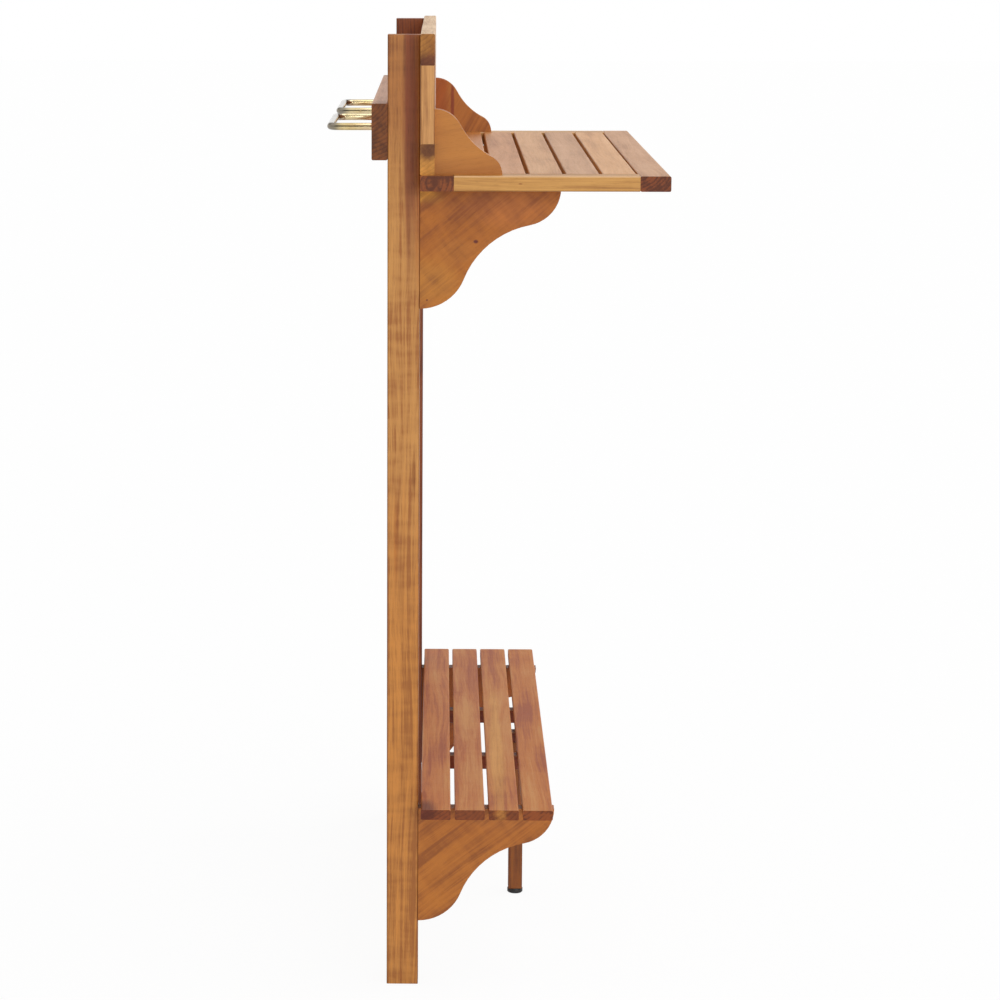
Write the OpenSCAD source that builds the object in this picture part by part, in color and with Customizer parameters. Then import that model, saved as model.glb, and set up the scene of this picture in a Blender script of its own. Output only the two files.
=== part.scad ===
// Bar table for a balcony railing: two posts carry a slatted top, a slatted shelf and a clamp bar.
// The front is at -Y and the railing is at +Y. The origin is on the floor, under the middle of the table.

/* [Width] */
// Width of the table: the length of the tabletop and of the shelf
table_w = 900; // [800:1:1000]
// How far the back panel stops short of each end of the tabletop
panel_inset = 10; // [4:1:16]
// How far the posts' outer faces stand in from each end of the tabletop
post_inset = 52; // [45:1:70]

/* [Posts and clamp bar] */
// Side of the square posts
post_w = 41; // [34:1:46]
// How far the posts stop below the top of the back panel
post_drop = 2.5; // [0:0.5:10]
// Thickness of the clamp bar behind the posts
bar_t = 20; // [16:1:26]
// Height of the clamp bar
bar_h = 70.5; // [60:0.5:90]
// Underside of the clamp bar above the tabletop's upper face
bar_lift = 15.5; // [12:0.5:30]

/* [Tabletop] */
// Height of the tabletop's upper face above the floor
top_z = 1063; // [900:1:1100]
// Thickness of the tabletop's rails and slats
top_t = 19; // [16:1:24]
// Width of the rear rail
top_rear_w = 42; // [36:1:50]
// Width of the front rail
top_front_w = 38; // [34:1:50]
// Width of the two side rails
top_side_w = 40; // [36:1:50]
// Number of slats between the rails
top_slats = 5; // [5:1:5]
// Width of one slat
top_slat_w = 41.5; // [34:0.5:44]
// Gap between two slats
top_slat_gap = 4.4; // [3:0.2:6]
// Gap between the outer slats and the rails
top_end_gap = 2.45; // [1:0.05:4]
// Width of the batten under the middle of the tabletop
top_batten_w = 40; // [30:1:60]
// Thickness of that batten
top_batten_t = 16; // [12:1:20]

/* [Back panel] */
// Thickness of the back panel
panel_t = 18; // [16:1:22]
// Height of the panel's upper and lower rails
panel_rail_h = 38.5; // [34:0.5:44]
// Width of the panel's stiles
panel_stile_w = 40; // [36:1:50]
// Height of one panel slat
panel_slat_h = 43; // [36:1:48]
// Gap above, between and below the two panel slats
panel_slat_gap = 3.4; // [2:0.1:6]

/* [Cheeks] */
// Inset of the cheeks from the ends of the back panel
cheek_inset = 10; // [4:1:14]
// Thickness of the cheeks
cheek_t = 18; // [14:1:22]
// Length of a cheek along the tabletop
cheek_l = 84; // [70:1:100]
// Height of a cheek
cheek_h = 81; // [65:1:95]
// Radius of the cheek's nose, at its front end
cheek_nose_r = 21; // [14:1:26]
// Radius of the cheek's hollow
cheek_hollow_r = 80; // [60:1:110]
// Radius of the cheek's crown, at the panel
cheek_crown_r = 34; // [24:1:44]
// Slope of the cheek's edge between nose and hollow, in degrees
cheek_shallow = 25; // [20:1:32]
// Slope of the cheek's edge between hollow and crown, in degrees
cheek_steep = 60; // [54:1:68]

/* [Brackets] */
// Thickness of the brackets
bracket_t = 20; // [16:1:26]
// Length of a bracket, from the post to its nose
bracket_l = 176.5; // [150:0.5:200]
// Drop of a bracket along the post
bracket_d = 152; // [130:1:180]
// Radius of the bracket's nose
bracket_nose_r = 47; // [38:1:56]
// Radius of the bracket's hollow
bracket_hollow_r = 109; // [90:1:130]
// Radius of the bracket's toe, at the post
bracket_toe_r = 58; // [48:1:68]
// Slope of the bracket's edge between nose and hollow, in degrees
bracket_shallow = 11; // [8:1:16]
// Slope of the bracket's edge between hollow and toe, in degrees
bracket_steep = 69; // [62:1:74]

/* [Shelf] */
// Height of the shelf's upper face above the floor
shelf_z = 252; // [200:1:320]
// Number of shelf slats
shelf_slats = 4; // [4:1:4]
// Width of one shelf slat
shelf_slat_w = 38.3; // [34:0.1:42]
// Gap between two shelf slats
shelf_slat_gap = 5.4; // [4:0.2:7]
// Thickness of the shelf slats
shelf_t = 13; // [11:0.5:16]
// Gap between the posts and the rear shelf slat
shelf_back_gap = 3.5; // [0:0.5:6]
// Width of the two battens under the shelf
shelf_batten_w = 18; // [16:1:24]
// Height of those battens
shelf_batten_h = 20; // [16:1:26]
// Distance between the middles of the two battens
shelf_batten_span = 252; // [180:2:320]

/* [Leg and foot] */
// Side of the square middle leg
leg_w = 20; // [18:1:26]
// Distance of the leg's middle from the back of the posts
leg_v = 178; // [174:0.5:182]
// Thickness of the block that holds the leg
block_t = 15; // [13:1:20]
// How far the block reaches past the middle of the two slats that it is screwed to
block_over = 12; // [9:1:16]
// Diameter of the leg's spigot in the block
spigot_d = 12; // [10:0.5:14]
// Diameter of the foot pad
pad_d = 22; // [20:1:30]
// Height of the foot pad
pad_h = 7; // [6:0.5:10]
// Diameter of the foot's threaded stem
stem_d = 8; // [6:0.5:9]
// Length of the stem above the pad
stem_l = 32; // [26:1:40]
// Outer diameter of the threaded insert in the leg
insert_d = 12; // [11.5:0.5:14]
// Length of that insert
insert_l = 13; // [10:1:18]

/* [Railing clamp] */
// Diameter of the bent rod
rod_d = 9.5; // [8:0.5:10]
// Distance between the middles of a rod's two arms
rod_span = 218; // [180:0.5:240]
// Distance of the middle of each bent rod from the middle of the table
rod_x = 177; // [150:0.25:190]
// How far the bent rod stands out behind the clamp bar
rod_out = 60; // [45:0.5:70]
// Radius of the rod's bends, on its centre line
rod_bend_r = 13; // [10:1:20]
// How far the rod's threaded ends reach in front of the clamp bar
rod_front = 17; // [15:0.5:18]
// Height of a wing nut's hub
nut_hub_h = 12; // [10:0.5:13]
// Diameter of the hub at its foot
nut_hub_d = 19; // [17:0.5:22]
// Span of a wing nut over both wings
nut_span = 46; // [38:1:50]
// Height of a wing nut over its wings
nut_h = 24; // [20:0.5:26]
// Thickness of the wings
nut_wing_t = 3.6; // [3:0.2:5]
// Diameter of the washers
washer_d = 25; // [22:1:30]
// Thickness of the washers
washer_t = 2; // [1.5:0.5:2.5]

/* [Joinery and screws] */
// Radius on the long edges of the sawn pieces
edge_r = 2; // [0.5:0.5:3]
// Length of the tenons
tenon_l = 12; // [8:1:16]
// Thickness of the tenons
tenon_t = 8; // [6:0.5:9]
// Shoulder of the tenons, on either side of their width
tenon_shoulder = 6; // [4:0.5:8]
// Diameter of the screws
screw_d = 4; // [3.5:0.1:5]
// Diameter of the screw heads
head_d = 9; // [8:0.5:10]
// Height of the screw heads
head_h = 3; // [2:0.5:3.5]
// Wood left above the point of a screw that comes from below
screw_skin = 4; // [3:0.5:5]
// How far the screws reach into the pieces that have room for them
screw_bite = 21; // [16:1:24]
// Depth of the bores that take the screw heads in the posts
post_sink = 12; // [8:1:16]
// Depth of the bores that take the screw heads in thin pieces
thin_sink = 4; // [3.5:0.5:5]
// Leg of the steel angles under the tabletop and the shelf
angle_l = 26; // [22:1:28]
// Width of the steel angles
angle_w = 15; // [13:1:18]
// Thickness of the steel angles
angle_t = 2; // [1.5:0.5:3]

/* [Hidden] */
// Air around a tenon or a spigot
fit_gap = 0.2;
// Air around a screw, and between a thread and its nut
bore_gap = 0.1;
thread_gap = 0.05;
// Air between pieces that turn or slide on each other
run_gap = 0.3;
// Extra length of a cutting shape past the face that it opens
past = 1;

// Places along the depth are measured forward from the back of the posts
rod_back = bar_t + rod_out;
top_l = top_rear_w + top_front_w + top_slats * top_slat_w + (top_slats - 1) * top_slat_gap + 2 * top_end_gap;
top_front = post_w + top_l;
post_back_y = (top_front - rod_back) / 2;
function y(v) = post_back_y - v;

// Heights
top_under = top_z - top_t;
panel_open_h = 2 * panel_slat_h + 3 * panel_slat_gap;
panel_h = 2 * panel_rail_h + panel_open_h;
panel_top = top_z + panel_h;
post_h = panel_top - post_drop;
bar_z = top_z + bar_lift;
bar_mid_z = bar_z + bar_h / 2;
shelf_under = shelf_z - shelf_t;
batten_under = shelf_under - shelf_batten_h;
block_under = shelf_under - block_t;
leg_bottom = pad_h + run_gap;

// Places across the width
top_w = table_w;
shelf_l = table_w;
panel_w = table_w - 2 * panel_inset;
post_span = table_w - 2 * post_inset;
post_out_x = post_span / 2;
post_mid_x = post_out_x - post_w / 2;
bracket_in_x = post_out_x - bracket_t;
bracket_mid_x = post_out_x - bracket_t / 2;
cheek_out_x = panel_w / 2 - cheek_inset;
cheek_mid_x = cheek_out_x - cheek_t / 2;
slat_end_x = top_w / 2 - top_side_w;
panel_in_x = panel_w / 2 - panel_stile_w;

// Places along the depth
top_rear_mid_v = post_w + top_rear_w / 2;
top_front_mid_v = top_front - top_front_w / 2;
function top_slat_v(i) = post_w + top_rear_w + top_end_gap + i * (top_slat_w + top_slat_gap);
function top_slat_mid_v(i) = top_slat_v(i) + top_slat_w / 2;
top_mid_slat = floor(top_slats / 2);
panel_front = post_w + panel_t;
function shelf_slat_v(i) = post_w + shelf_back_gap + i * (shelf_slat_w + shelf_slat_gap);
function shelf_slat_mid_v(i) = shelf_slat_v(i) + shelf_slat_w / 2;
shelf_front = shelf_slat_v(shelf_slats - 1) + shelf_slat_w;
block_v0 = shelf_slat_mid_v(shelf_slats - 2) - block_over;
block_v1 = shelf_slat_mid_v(shelf_slats - 1) + block_over;

// Screw lengths, from the head's seat to the point
bar_screw_l = bar_t - thin_sink + screw_bite;
panel_screw_l = post_w - post_sink + panel_t - screw_skin;
bracket_screw_l = post_w - post_sink + screw_bite;
cheek_back_screw_l = panel_t - thin_sink + screw_bite;
cheek_base_screw_l = top_t - thin_sink + screw_bite;
top_screw_l = top_batten_t - thin_sink + top_t - screw_skin;
shelf_screw_l = shelf_batten_h - thin_sink + shelf_t - screw_skin;
block_screw_l = block_t - thin_sink + shelf_t - screw_skin;
angle_screw_l = angle_t + shelf_t - screw_skin;
// Middle of the hole in each leg of a steel angle, from its corner
angle_hole = angle_l * 0.62;

// Seats of the screw heads: [x, v, z]
bar_spots = [for (s = [-1, 1], k = [-1, 1]) [s * post_mid_x, thin_sink - bar_t, bar_mid_z + k * bar_h * 0.28]];
panel_spots = [for (s = [-1, 1], z = [top_z + bar_lift / 2, panel_top - panel_rail_h / 2])
    [s * post_mid_x, post_sink, z]];
bracket_spots = [for (s = [-1, 1], z = [top_under, shelf_under], d = [0.16, 0.74])
    [s * bracket_mid_x, post_sink, z - d * bracket_d]];
cheek_back_spots = [for (s = [-1, 1]) [s * cheek_mid_x, post_w + thin_sink, top_z + cheek_h * 0.55]];
// The base screws of the cheeks stand just in front of the rear rail
cheek_base_v = post_w + top_rear_w + head_d / 2 + run_gap;
cheek_base_spots = [for (s = [-1, 1]) [s * cheek_mid_x, cheek_base_v, top_under + thin_sink]];
top_spots = concat(
    [[0, top_rear_mid_v, top_under - top_batten_t + thin_sink]],
    [for (i = [0:top_slats - 1]) [0, top_slat_mid_v(i), top_under - top_batten_t + thin_sink]],
    [[0, top_front_mid_v, top_under - top_batten_t + thin_sink]]);
shelf_spots = [for (s = [-1, 1], i = [0:shelf_slats - 1])
    [s * shelf_batten_span / 2, shelf_slat_mid_v(i), batten_under + thin_sink]];
block_spots = [for (i = [shelf_slats - 2, shelf_slats - 1]) [0, shelf_slat_mid_v(i), block_under + thin_sink]];
// Places of the steel angles' middles along the depth
upper_angle_v = [top_rear_mid_v, top_slat_mid_v(top_mid_slat)];
lower_angle_v = [shelf_slat_mid_v(0), shelf_slat_mid_v(shelf_slats - 2)];
// Middles of the clamp's arms across the width
arm_x = [for (s = [-1, 1], k = [-1, 1]) s * rod_x + k * rod_span / 2];

$fn = 48;

// Basic shapes

// Rectangle with round corners, from its low corner
module round_rect(size, r) {
    translate([r, 0]) square([size[0] - 2 * r, size[1]]);
    translate([0, r]) square([size[0], size[1] - 2 * r]);
    for (a = [r, size[0] - r], b = [r, size[1] - r])
        translate([a, b]) circle(r = r);
}

// Sawn pieces with round long edges, from their low corner
module stick_x(size) {
    rotate([90, 0, 90]) linear_extrude(size[0]) round_rect([size[1], size[2]], edge_r);
}

module stick_y(size) {
    translate([0, size[1], 0]) rotate([90, 0, 0]) linear_extrude(size[1]) round_rect([size[0], size[2]], edge_r);
}

module stick_z(size) {
    linear_extrude(size[2]) round_rect([size[0], size[1]], edge_r);
}

// Points of an ogee: a nose, a hollow and a toe, as tangent arcs, stretched to a length and a drop.
// The shallow angle is the slope where the nose meets the hollow, and the steep one where the toe begins.
function polar(r, a) = [r * cos(a), r * sin(a)];
function ogee(size, nose_r, hollow_r, toe_r, shallow, steep, steps = 10) =
    let (
        first = 90 - shallow,
        last = 90 - steep,
        hollow = polar(nose_r + hollow_r, first),
        toe = hollow - polar(hollow_r + toe_r, last),
        curve = concat(
            [for (i = [0:steps]) polar(nose_r, first * i / steps)],
            [for (i = [1:steps]) hollow - polar(hollow_r, first + (last - first) * i / steps)],
            [for (i = [1:steps]) toe + polar(toe_r, last + steep * i / steps)]),
        scale_l = size[0] / (nose_r - toe[0]),
        scale_d = size[1] / (toe[1] + toe_r)
    )
    concat([[0, 0]], [for (p = curve) [(p[0] - toe[0]) * scale_l, p[1] * scale_d]]);

// Screw with its head's seat at the origin, driven along +Z
module screw(length) {
    translate([0, 0, -head_h]) cylinder(h = head_h, r = head_d / 2);
    cylinder(h = length - screw_d, r = screw_d / 2);
    translate([0, 0, length - screw_d]) cylinder(h = screw_d, r1 = screw_d / 2, r2 = screw_d / 8);
}

// Bore for that screw, with a wider bore of the given depth for its head
module screw_bore(length, sink) {
    cylinder(h = length + past, r = screw_d / 2 + bore_gap);
    if (sink > 0)
        translate([0, 0, -sink - past]) cylinder(h = sink + past, r = head_d / 2 + bore_gap);
}

// Children at each spot, driven forward or upward
module driven_forward(spots) {
    for (p = spots)
        translate([p[0], y(p[1]), p[2]]) rotate([90, 0, 0]) children();
}

module driven_up(spots) {
    for (p = spots)
        translate([p[0], y(p[1]), p[2]]) children();
}

function on_side(spots, side) = [for (p = spots) if (p[0] * side > 0) p];
function near_v(spots, v0, v1) = [for (p = spots) if (p[1] > v0 && p[1] < v1) p];

// Tenon at the end of a piece, or its mortise with air around it
module tenon(size, air) {
    translate([-size[0] / 2 - air, -size[1] / 2 - air, -size[2] / 2 - air])
        cube([size[0] + 2 * air, size[1] + 2 * air, size[2] + 2 * air]);
}

// Posts and clamp bar

module post(side) {
    color("peru") difference() {
        translate([side * post_mid_x - post_w / 2, y(post_w), 0]) stick_z([post_w, post_w, post_h]);
        driven_forward(on_side(bar_spots, side)) screw_bore(bar_screw_l, 0);
        driven_forward(on_side(panel_spots, side)) screw_bore(panel_screw_l, post_sink);
        driven_forward(on_side(bracket_spots, side)) screw_bore(bracket_screw_l, post_sink);
    }
}

module clamp_bar() {
    color("saddlebrown") difference() {
        translate([-post_out_x, y(0), bar_z]) stick_x([post_span, bar_t, bar_h]);
        driven_forward(bar_spots) screw_bore(bar_screw_l, thin_sink);
        for (x = arm_x)
            translate([x, y(past), bar_mid_z]) rotate([-90, 0, 0])
                cylinder(h = bar_t + 2 * past, r = rod_d / 2 + 2 * run_gap);
    }
}

// Railing clamp

// Square-bent rod: two arms, two bends and the closed end
module u_bolt(side) {
    arm = rod_span / 2;
    arm_l = rod_back - rod_d / 2 - rod_bend_r + rod_front;
    end_v = rod_d / 2 + rod_bend_r - rod_back;
    color("goldenrod") translate([side * rod_x, 0, bar_mid_z]) {
        for (k = [-1, 1]) {
            translate([k * arm, y(rod_front), 0]) rotate([-90, 0, 0])
                cylinder(h = arm_l, r = rod_d / 2);
            translate([k * (arm - rod_bend_r), y(end_v), 0]) rotate([0, 0, k > 0 ? 0 : 90])
                rotate_extrude(angle = 90) translate([rod_bend_r, 0]) circle(d = rod_d);
        }
        translate([rod_bend_r - arm, y(end_v) + rod_bend_r, 0]) rotate([0, 90, 0])
            cylinder(h = rod_span - 2 * rod_bend_r, r = rod_d / 2);
    }
}

// Outline of one wing, from the hub's middle outwards and from its foot forwards
module wing_outline() {
    tip_r = nut_span * 0.13;
    tip = [nut_span / 2 - tip_r, nut_h - tip_r];
    polygon([[rod_d / 2 + 2, 1.5], [nut_hub_d / 2 + 1, 2], [nut_span / 2 - 1, nut_h * 0.55],
        [nut_span / 2, tip[1]], [tip[0], nut_h], [tip[0] - tip_r, tip[1]],
        [nut_hub_d / 2 - 1, nut_hub_h], [rod_d / 2 + 2, nut_hub_h]]);
    translate(tip) circle(r = tip_r);
}

module wing_nut(i) {
    color("gold") translate([arm_x[i], y(washer_t + run_gap), bar_mid_z]) rotate([90, 0, 0]) difference() {
        union() {
            cylinder(h = nut_hub_h, r1 = nut_hub_d / 2, r2 = nut_hub_d * 0.4);
            for (a = [0, 180])
                rotate([0, 0, a]) translate([0, nut_wing_t / 2, 0]) rotate([90, 0, 0])
                    linear_extrude(nut_wing_t) wing_outline();
        }
        translate([0, 0, -past]) cylinder(h = nut_h + 2 * past, r = rod_d / 2 + thread_gap);
    }
}

module clamp_washers() {
    color("gold") for (x = arm_x)
        translate([x, y(0), bar_mid_z]) rotate([90, 0, 0]) difference() {
            cylinder(h = washer_t, r = washer_d / 2);
            translate([0, 0, -past]) cylinder(h = washer_t + 2 * past, r = rod_d / 2 + run_gap);
        }
}

// Back panel

stile_tenon = [panel_stile_w - 2 * tenon_shoulder, tenon_t, 2 * tenon_l];
panel_slat_tenon = [2 * tenon_l, tenon_t, panel_slat_h - 2 * tenon_shoulder];
panel_mid_v = post_w + panel_t / 2;
stile_mid_x = panel_w / 2 - panel_stile_w / 2;
function panel_slat_z(i) = top_z + panel_rail_h + panel_slat_gap + i * (panel_slat_h + panel_slat_gap);

module panel_rail(z, tenon_z) {
    color("burlywood") difference() {
        translate([-panel_w / 2, y(panel_front), z]) stick_x([panel_w, panel_t, panel_rail_h]);
        for (s = [-1, 1])
            translate([s * stile_mid_x, y(panel_mid_v), tenon_z]) tenon(stile_tenon, fit_gap);
        driven_forward(panel_spots) screw_bore(panel_screw_l, 0);
    }
}

module panel_stile(side) {
    color("burlywood") difference() {
        union() {
            translate([side * stile_mid_x - panel_stile_w / 2, y(panel_front), top_z + panel_rail_h])
                stick_z([panel_stile_w, panel_t, panel_open_h]);
            for (z = [top_z + panel_rail_h, panel_top - panel_rail_h])
                translate([side * stile_mid_x, y(panel_mid_v), z]) tenon(stile_tenon, 0);
        }
        for (i = [0, 1])
            translate([side * panel_in_x, y(panel_mid_v), panel_slat_z(i) + panel_slat_h / 2])
                tenon(panel_slat_tenon, fit_gap);
        driven_forward(on_side(cheek_back_spots, side)) screw_bore(cheek_back_screw_l, thin_sink);
    }
}

module panel_slat(i) {
    color("peru") {
        translate([-panel_in_x, y(panel_front), panel_slat_z(i)])
            stick_x([2 * panel_in_x, panel_t, panel_slat_h]);
        for (s = [-1, 1])
            translate([s * panel_in_x, y(panel_mid_v), panel_slat_z(i) + panel_slat_h / 2])
                tenon(panel_slat_tenon, 0);
    }
}

// Tabletop

top_slat_tenon = [2 * tenon_l, top_slat_w - 2 * tenon_shoulder, tenon_t];
side_tenon = [top_side_w - 2 * tenon_shoulder, 2 * tenon_l, tenon_t];
side_mid_x = top_w / 2 - top_side_w / 2;
top_mid_z = top_z - top_t / 2;

// Rail along the width, from v0 to v1, with the mortises of the side rails at its inner edge
module top_rail(v0, v1, inner_v) {
    color("chocolate") difference() {
        translate([-top_w / 2, y(v1), top_under]) stick_x([top_w, v1 - v0, top_t]);
        for (s = [-1, 1])
            translate([s * side_mid_x, y(inner_v), top_mid_z]) tenon(side_tenon, fit_gap);
        driven_up(near_v(top_spots, v0, v1)) screw_bore(top_screw_l, 0);
        driven_up(near_v(angle_spots(top_under, upper_angle_v), v0, v1)) screw_bore(angle_screw_l, 0);
    }
}

module top_side_rail(side) {
    color("burlywood") difference() {
        union() {
            translate([side * side_mid_x - top_side_w / 2, y(top_front - top_front_w), top_under])
                stick_y([top_side_w, top_l - top_front_w - top_rear_w, top_t]);
            for (v = [post_w + top_rear_w, top_front - top_front_w])
                translate([side * side_mid_x, y(v), top_mid_z]) tenon(side_tenon, 0);
        }
        for (i = [0:top_slats - 1])
            translate([side * slat_end_x, y(top_slat_mid_v(i)), top_mid_z]) tenon(top_slat_tenon, fit_gap);
        driven_up(on_side(cheek_base_spots, side)) screw_bore(cheek_base_screw_l, thin_sink);
    }
}

module top_slat(i) {
    v0 = top_slat_v(i);
    v1 = v0 + top_slat_w;
    color("peru") difference() {
        union() {
            translate([-slat_end_x, y(v1), top_under]) stick_x([2 * slat_end_x, top_slat_w, top_t]);
            for (s = [-1, 1])
                translate([s * slat_end_x, y(top_slat_mid_v(i)), top_mid_z]) tenon(top_slat_tenon, 0);
        }
        driven_up(near_v(top_spots, v0, v1)) screw_bore(top_screw_l, 0);
        driven_up(near_v(angle_spots(top_under, upper_angle_v), v0, v1)) screw_bore(angle_screw_l, 0);
    }
}

module top_batten() {
    margin = 14;
    v1 = top_front - margin;
    color("sienna") difference() {
        translate([-top_batten_w / 2, y(v1), top_under - top_batten_t])
            stick_y([top_batten_w, v1 - post_w - margin, top_batten_t]);
        driven_up(top_spots) screw_bore(top_screw_l, thin_sink);
    }
}

// Cheeks and brackets

module cheek(side) {
    color("peru") difference() {
        translate([side * cheek_mid_x - cheek_t / 2, y(panel_front), top_z])
            rotate([90, 0, 90]) linear_extrude(cheek_t) mirror([1, 0])
                polygon(ogee([cheek_l, cheek_h], cheek_nose_r, cheek_hollow_r, cheek_crown_r,
                    cheek_shallow, cheek_steep));
        driven_forward(on_side(cheek_back_spots, side)) screw_bore(cheek_back_screw_l, 0);
        driven_up(on_side(cheek_base_spots, side)) screw_bore(cheek_base_screw_l, 0);
    }
}

// Bracket under the face at the given height
module bracket(side, z, angle_v) {
    color("peru") difference() {
        translate([side * bracket_mid_x - bracket_t / 2, y(post_w), z])
            rotate([90, 0, 90]) linear_extrude(bracket_t) rotate(180)
                polygon(ogee([bracket_l, bracket_d], bracket_nose_r, bracket_hollow_r, bracket_toe_r,
                    bracket_shallow, bracket_steep));
        driven_forward(on_side(bracket_spots, side)) screw_bore(bracket_screw_l, 0);
        for (v = angle_v)
            translate([side * (bracket_in_x - angle_t), y(v), z - angle_hole])
                rotate([0, side * 90, 0]) screw_bore(angle_screw_l, 0);
    }
}

// Steel angles between brackets and the boards that they carry

// Seats of the upright screws of the angles under the face at the given height
function angle_spots(z, angle_v) =
    [for (s = [-1, 1], v = angle_v) [s * (bracket_in_x - angle_hole), v, z - angle_t]];

module angles(z, angle_v) {
    color("silver") for (s = [-1, 1], v = angle_v)
        translate([s * bracket_in_x, y(v), z]) mirror([s > 0 ? 1 : 0, 0, 0]) difference() {
            union() {
                translate([0, -angle_w / 2, -angle_t]) cube([angle_l, angle_w, angle_t]);
                translate([0, -angle_w / 2, -angle_l]) cube([angle_t, angle_w, angle_l]);
            }
            translate([angle_hole, 0, -angle_t - past]) cylinder(h = angle_t + 2 * past, r = screw_d / 2 + bore_gap);
            translate([-past, 0, -angle_hole]) rotate([0, 90, 0])
                cylinder(h = angle_t + 2 * past, r = screw_d / 2 + bore_gap);
        }
}

module angle_screws() {
    color("silver") for (set = [[top_under, upper_angle_v], [shelf_under, lower_angle_v]]) {
        driven_up(angle_spots(set[0], set[1])) screw(angle_screw_l);
        for (s = [-1, 1], v = set[1])
            translate([s * (bracket_in_x - angle_t), y(v), set[0] - angle_hole])
                rotate([0, s * 90, 0]) screw(angle_screw_l);
    }
}

// Shelf

module shelf_slat(i) {
    v0 = shelf_slat_v(i);
    v1 = v0 + shelf_slat_w;
    color("peru") difference() {
        translate([-shelf_l / 2, y(v1), shelf_under]) stick_x([shelf_l, shelf_slat_w, shelf_t]);
        driven_up(near_v(shelf_spots, v0, v1)) screw_bore(shelf_screw_l, 0);
        driven_up(near_v(block_spots, v0, v1)) screw_bore(block_screw_l, 0);
        driven_up(near_v(angle_spots(shelf_under, lower_angle_v), v0, v1)) screw_bore(angle_screw_l, 0);
    }
}

module shelf_batten(side) {
    margin = 8;
    v0 = shelf_slat_v(0) + margin;
    v1 = shelf_front - margin;
    color("sienna") difference() {
        translate([side * shelf_batten_span / 2 - shelf_batten_w / 2, y(v1), batten_under])
            stick_y([shelf_batten_w, v1 - v0, shelf_batten_h]);
        driven_up(on_side(shelf_spots, side)) screw_bore(shelf_screw_l, thin_sink);
    }
}

// Leg and foot

module leg_block() {
    color("sienna") difference() {
        translate([-leg_w / 2, y(block_v1), block_under]) stick_y([leg_w, block_v1 - block_v0, block_t]);
        driven_up(block_spots) screw_bore(block_screw_l, thin_sink);
        translate([0, y(leg_v), block_under - past])
            cylinder(h = block_t + 2 * past, r = spigot_d / 2 + bore_gap);
    }
}

module leg() {
    stem_room = stem_l + 10;
    color("sienna") difference() {
        union() {
            translate([-leg_w / 2, y(leg_v) - leg_w / 2, leg_bottom])
                stick_z([leg_w, leg_w, block_under - leg_bottom]);
            translate([0, y(leg_v), block_under - past])
                cylinder(h = block_t + past, r = spigot_d / 2);
        }
        translate([0, y(leg_v), leg_bottom - past]) {
            cylinder(h = insert_l + past, r = insert_d / 2 + bore_gap);
            cylinder(h = stem_room + past, r = stem_d / 2 + run_gap);
        }
    }
}

module leg_insert() {
    color("silver") translate([0, y(leg_v), leg_bottom]) difference() {
        cylinder(h = insert_l, r = insert_d / 2);
        translate([0, 0, -past]) cylinder(h = insert_l + 2 * past, r = stem_d / 2 + thread_gap);
    }
}

// Seat of the stem in the pad, above the floor
stem_seat = 3;

module foot_stem() {
    color("silver") translate([0, y(leg_v), stem_seat]) {
        cylinder(h = pad_h + stem_l - stem_seat - 1, r = stem_d / 2);
        translate([0, 0, pad_h + stem_l - stem_seat - 1]) cylinder(h = 1, r1 = stem_d / 2, r2 = stem_d / 2 - 1);
    }
}

module foot_pad() {
    lip = 1.2;
    color("dimgray") translate([0, y(leg_v), 0]) difference() {
        union() {
            cylinder(h = lip, r1 = pad_d / 2 - lip, r2 = pad_d / 2);
            translate([0, 0, lip]) cylinder(h = pad_h - 2 * lip, r = pad_d / 2);
            translate([0, 0, pad_h - lip]) cylinder(h = lip, r1 = pad_d / 2, r2 = pad_d / 2 - lip);
        }
        translate([0, 0, stem_seat]) cylinder(h = pad_h, r = stem_d / 2 + thread_gap);
    }
}

// Named nodes

post(-1);  // post_left
post(1);  // post_right
clamp_bar();
u_bolt(-1);  // u_bolt_left
u_bolt(1);  // u_bolt_right
clamp_washers();
wing_nut(0);  // wing_nut_left_outer
wing_nut(1);  // wing_nut_left_inner
wing_nut(2);  // wing_nut_right_inner
wing_nut(3);  // wing_nut_right_outer
panel_rail(panel_top - panel_rail_h, panel_top - panel_rail_h);  // panel_top_rail
panel_rail(top_z, top_z + panel_rail_h);  // panel_bottom_rail
panel_stile(-1);  // panel_stile_left
panel_stile(1);  // panel_stile_right
panel_slat(0);  // panel_slat_lower
panel_slat(1);  // panel_slat_upper
top_rail(post_w, post_w + top_rear_w, post_w + top_rear_w);  // top_rear_rail
top_rail(top_front - top_front_w, top_front, top_front - top_front_w);  // top_front_rail
top_side_rail(-1);  // top_side_rail_left
top_side_rail(1);  // top_side_rail_right
top_slat(0);  // top_slat_1
top_slat(1);  // top_slat_2
top_slat(2);  // top_slat_3
top_slat(3);  // top_slat_4
top_slat(4);  // top_slat_5
top_batten();
cheek(-1);  // cheek_left
cheek(1);  // cheek_right
bracket(-1, top_under, upper_angle_v);  // bracket_upper_left
bracket(1, top_under, upper_angle_v);  // bracket_upper_right
bracket(-1, shelf_under, lower_angle_v);  // bracket_lower_left
bracket(1, shelf_under, lower_angle_v);  // bracket_lower_right
shelf_slat(0);  // shelf_slat_1
shelf_slat(1);  // shelf_slat_2
shelf_slat(2);  // shelf_slat_3
shelf_slat(3);  // shelf_slat_4
shelf_batten(-1);  // shelf_batten_left
shelf_batten(1);  // shelf_batten_right
leg_block();
leg();
leg_insert();
foot_stem();
foot_pad();
color("silver") driven_forward(bar_spots) screw(bar_screw_l);  // bar_screws
color("silver") driven_forward(panel_spots) screw(panel_screw_l);  // panel_screws
color("silver") driven_forward(bracket_spots) screw(bracket_screw_l);  // bracket_screws
cheek_screws();
color("silver") driven_up(top_spots) screw(top_screw_l);  // top_screws
shelf_screws();
angles(top_under, upper_angle_v);  // angles_upper
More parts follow.
